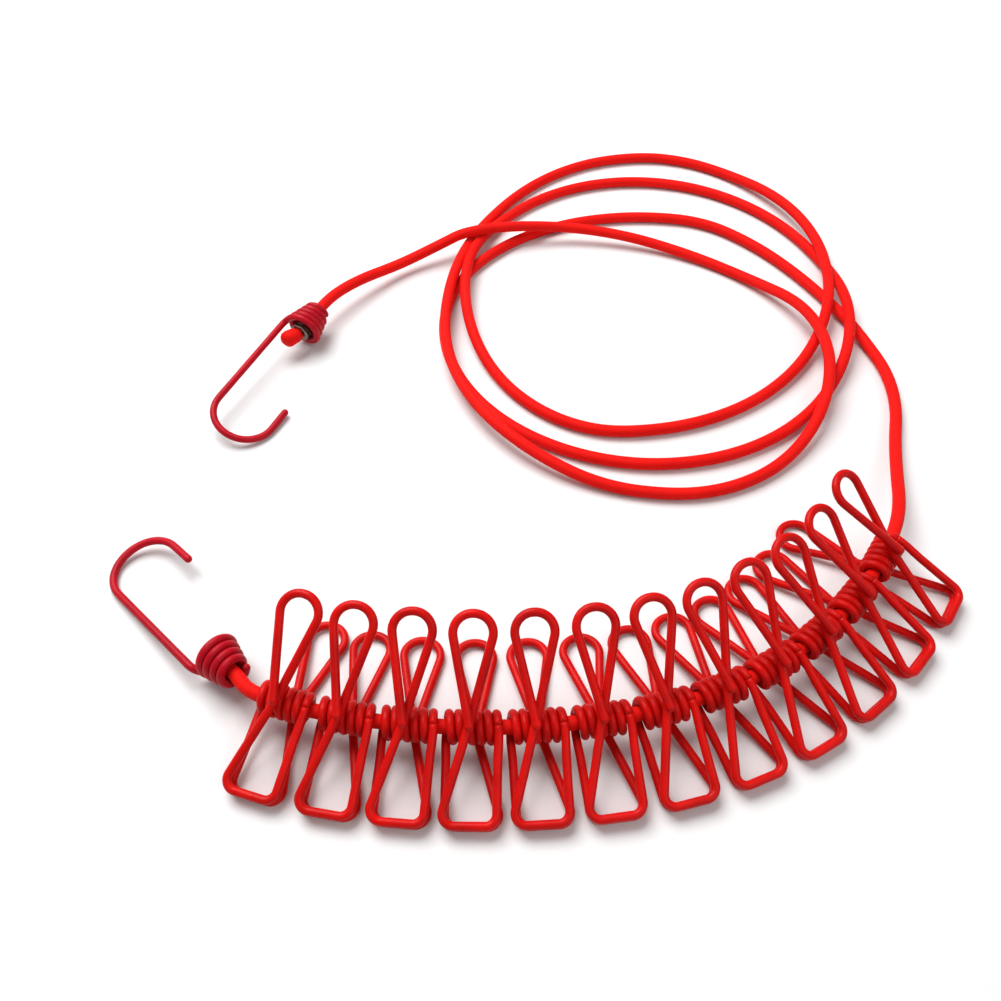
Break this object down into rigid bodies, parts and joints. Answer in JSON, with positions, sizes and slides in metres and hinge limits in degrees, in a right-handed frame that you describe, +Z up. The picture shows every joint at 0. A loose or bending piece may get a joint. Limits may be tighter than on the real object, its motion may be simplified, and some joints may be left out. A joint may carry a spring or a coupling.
{
  "type": "elastic clothesline with clips",
  "caption": "Elastic travel clothesline: a loosely coiled cord carrying sprung wire clothespins, with a wire hook at each end.",
  "frame": {"origin": "on the table, under the middle of the clips and hooks", "axes": "+X along the row of clips, +Y from the row towards the loose coil, +Z up"},
  "size_m": [0.2584, 0.3045, 0.0342],
  "materials": {
    "cord": "satin",
    "clip_wire": "gloss",
    "hook_wire": "gloss",
    "ferrule": "satin"
  },
  "bodies": {
    "line": {"cord_hook_1_lead": "cord", "cord_clip_run": "cord", "cord_loose_coil": "cord", "hook_1_ferrule": "ferrule", "hook_1_cord_stop": "cord", "hook_2_ferrule": "ferrule", "hook_2_cord_stop": "cord"},
    "hook_1": {"hook_1": "hook_wire"},
    "hook_2": {"hook_2": "hook_wire"},
    "clip_01": {"clip_01_rear_lever": "clip_wire", "clip_01_spring_coil": "clip_wire"},
    "clip_01_front": {"clip_01_front_lever": "clip_wire"},
    "clip_02": {"clip_02_rear_lever": "clip_wire", "clip_02_spring_coil": "clip_wire"},
    "clip_02_front": {"clip_02_front_lever": "clip_wire"},
    "clip_03": {"clip_03_rear_lever": "clip_wire", "clip_03_spring_coil": "clip_wire"},
    "clip_03_front": {"clip_03_front_lever": "clip_wire"},
    "clip_04": {"clip_04_rear_lever": "clip_wire", "clip_04_spring_coil": "clip_wire"},
    "clip_04_front": {"clip_04_front_lever": "clip_wire"},
    "clip_05": {"clip_05_rear_lever": "clip_wire", "clip_05_spring_coil": "clip_wire"},
    "clip_05_front": {"clip_05_front_lever": "clip_wire"},
    "clip_06": {"clip_06_rear_lever": "clip_wire", "clip_06_spring_coil": "clip_wire"},
    "clip_06_front": {"clip_06_front_lever": "clip_wire"},
    "clip_07": {"clip_07_rear_lever": "clip_wire", "clip_07_spring_coil": "clip_wire"},
    "clip_07_front": {"clip_07_front_lever": "clip_wire"},
    "clip_08": {"clip_08_rear_lever": "clip_wire", "clip_08_spring_coil": "clip_wire"},
    "clip_08_front": {"clip_08_front_lever": "clip_wire"},
    "clip_09": {"clip_09_rear_lever": "clip_wire", "clip_09_spring_coil": "clip_wire"},
    "clip_09_front": {"clip_09_front_lever": "clip_wire"},
    "clip_10": {"clip_10_rear_lever": "clip_wire", "clip_10_spring_coil": "clip_wire"},
    "clip_10_front": {"clip_10_front_lever": "clip_wire"},
    "clip_11": {"clip_11_rear_lever": "clip_wire", "clip_11_spring_coil": "clip_wire"},
    "clip_11_front": {"clip_11_front_lever": "clip_wire"},
    "clip_12": {"clip_12_rear_lever": "clip_wire", "clip_12_spring_coil": "clip_wire"},
    "clip_12_front": {"clip_12_front_lever": "clip_wire"}
  },
  "joints": [
    {"name": "clip_01_swing", "type": "hinge", "parent": "line", "child": "clip_01", "pos_m": [-0.0664, -0.064, 0.00952], "axis": [0.9543, -0.2989, 0], "range_deg": [-90, 75]},
    {"name": "clip_01_jaw", "type": "hinge", "parent": "clip_01", "child": "clip_01_front", "pos_m": [-0.0664, -0.064, 0.00952], "axis": [-0.9543, 0.2989, 0], "range_deg": [0, 55], "stiffness_Nm_per_rad": 0.1, "springref_deg": -20.05, "deforming": ["clip_01_spring_coil"]},
    {"name": "clip_02_swing", "type": "hinge", "parent": "line", "child": "clip_02", "pos_m": [-0.0498, -0.068, 0.00952], "axis": [0.9861, -0.1663, 0], "range_deg": [-90, 75]},
    {"name": "clip_02_jaw", "type": "hinge", "parent": "clip_02", "child": "clip_02_front", "pos_m": [-0.0498, -0.068, 0.00952], "axis": [-0.9861, 0.1663, 0], "range_deg": [0, 55], "stiffness_Nm_per_rad": 0.1, "springref_deg": -20.05, "deforming": ["clip_02_spring_coil"]},
    {"name": "clip_03_swing", "type": "hinge", "parent": "line", "child": "clip_03", "pos_m": [-0.0332, -0.0701, 0.00952], "axis": [0.9965, -0.084, 0], "range_deg": [-90, 75]},
    {"name": "clip_03_jaw", "type": "hinge", "parent": "clip_03", "child": "clip_03_front", "pos_m": [-0.0332, -0.0701, 0.00952], "axis": [-0.9965, 0.084, 0], "range_deg": [0, 55], "stiffness_Nm_per_rad": 0.1, "springref_deg": -20.05, "deforming": ["clip_03_spring_coil"]},
    {"name": "clip_04_swing", "type": "hinge", "parent": "line", "child": "clip_04", "pos_m": [-0.0164, -0.0709, 0.00952], "axis": [0.9999, -0.0118, 0], "range_deg": [-90, 75]},
    {"name": "clip_04_jaw", "type": "hinge", "parent": "clip_04", "child": "clip_04_front", "pos_m": [-0.0164, -0.0709, 0.00952], "axis": [-0.9999, 0.0118, 0], "range_deg": [0, 55], "stiffness_Nm_per_rad": 0.1, "springref_deg": -20.05, "deforming": ["clip_04_spring_coil"]},
    {"name": "clip_05_swing", "type": "hinge", "parent": "line", "child": "clip_05", "pos_m": [0.0006, -0.0705, 0.00952], "axis": [0.9983, 0.0587, 0], "range_deg": [-90, 75]},
    {"name": "clip_05_jaw", "type": "hinge", "parent": "clip_05", "child": "clip_05_front", "pos_m": [0.0006, -0.0705, 0.00952], "axis": [-0.9983, -0.0587, 0], "range_deg": [0, 55], "stiffness_Nm_per_rad": 0.1, "springref_deg": -20.05, "deforming": ["clip_05_spring_coil"]},
    {"name": "clip_06_swing", "type": "hinge", "parent": "line", "child": "clip_06", "pos_m": [0.0177, -0.0688, 0.00952], "axis": [0.9904, 0.1382, 0], "range_deg": [-90, 75]},
    {"name": "clip_06_jaw", "type": "hinge", "parent": "clip_06", "child": "clip_06_front", "pos_m": [0.0177, -0.0688, 0.00952], "axis": [-0.9904, -0.1382, 0], "range_deg": [0, 55], "stiffness_Nm_per_rad": 0.1, "springref_deg": -20.05, "deforming": ["clip_06_spring_coil"]},
    {"name": "clip_07_swing", "type": "hinge", "parent": "line", "child": "clip_07", "pos_m": [0.0345, -0.0655, 0.00952], "axis": [0.9687, 0.2481, 0], "range_deg": [-90, 75]},
    {"name": "clip_07_jaw", "type": "hinge", "parent": "clip_07", "child": "clip_07_front", "pos_m": [0.0345, -0.0655, 0.00952], "axis": [-0.9687, -0.2481, 0], "range_deg": [0, 55], "stiffness_Nm_per_rad": 0.1, "springref_deg": -20.05, "deforming": ["clip_07_spring_coil"]},
    {"name": "clip_08_swing", "type": "hinge", "parent": "line", "child": "clip_08", "pos_m": [0.0506, -0.0602, 0.00952], "axis": [0.9268, 0.3754, 0], "range_deg": [-90, 75]},
    {"name": "clip_08_jaw", "type": "hinge", "parent": "clip_08", "child": "clip_08_front", "pos_m": [0.0506, -0.0602, 0.00952], "axis": [-0.9268, -0.3754, 0], "range_deg": [0, 55], "stiffness_Nm_per_rad": 0.1, "springref_deg": -20.05, "deforming": ["clip_08_spring_coil"]},
    {"name": "clip_09_swing", "type": "hinge", "parent": "line", "child": "clip_09", "pos_m": [0.0658, -0.0528, 0.00952], "axis": [0.8668, 0.4987, 0], "range_deg": [-90, 75]},
    {"name": "clip_09_jaw", "type": "hinge", "parent": "clip_09", "child": "clip_09_front", "pos_m": [0.0658, -0.0528, 0.00952], "axis": [-0.8668, -0.4987, 0], "range_deg": [0, 55], "stiffness_Nm_per_rad": 0.1, "springref_deg": -20.05, "deforming": ["clip_09_spring_coil"]},
    {"name": "clip_10_swing", "type": "hinge", "parent": "line", "child": "clip_10", "pos_m": [0.0798, -0.0433, 0.00952], "axis": [0.7843, 0.6204, 0], "range_deg": [-90, 75]},
    {"name": "clip_10_jaw", "type": "hinge", "parent": "clip_10", "child": "clip_10_front", "pos_m": [0.0798, -0.0433, 0.00952], "axis": [-0.7843, -0.6204, 0], "range_deg": [0, 55], "stiffness_Nm_per_rad": 0.1, "springref_deg": -20.05, "deforming": ["clip_10_spring_coil"]},
    {"name": "clip_11_swing", "type": "hinge", "parent": "line", "child": "clip_11", "pos_m": [0.0925, -0.0315, 0.00952], "axis": [0.6783, 0.7348, 0], "range_deg": [-90, 75]},
    {"name": "clip_11_jaw", "type": "hinge", "parent": "clip_11", "child": "clip_11_front", "pos_m": [0.0925, -0.0315, 0.00952], "axis": [-0.6783, -0.7348, 0], "range_deg": [0, 55], "stiffness_Nm_per_rad": 0.1, "springref_deg": -20.05, "deforming": ["clip_11_spring_coil"]},
    {"name": "clip_12_swing", "type": "hinge", "parent": "line", "child": "clip_12", "pos_m": [0.1039, -0.0172, 0.00952], "axis": [0.5692, 0.8222, 0], "range_deg": [-90, 75]},
    {"name": "clip_12_jaw", "type": "hinge", "parent": "clip_12", "child": "clip_12_front", "pos_m": [0.1039, -0.0172, 0.00952], "axis": [-0.5692, -0.8222, 0], "range_deg": [0, 55], "stiffness_Nm_per_rad": 0.1, "springref_deg": -20.05, "deforming": ["clip_12_spring_coil"]},
    {"name": "hook_1_swivel", "type": "hinge", "parent": "line", "child": "hook_1", "pos_m": [-0.07642, 0.09451, 0.00813], "axis": [-0.4416, -0.8958, -0.0505], "continuous": true},
    {"name": "hook_2_swivel", "type": "hinge", "parent": "line", "child": "hook_2", "pos_m": [-0.08132, -0.05512, 0.00874], "axis": [-0.7154, 0.6889, -0.1166], "continuous": true}
  ]
}
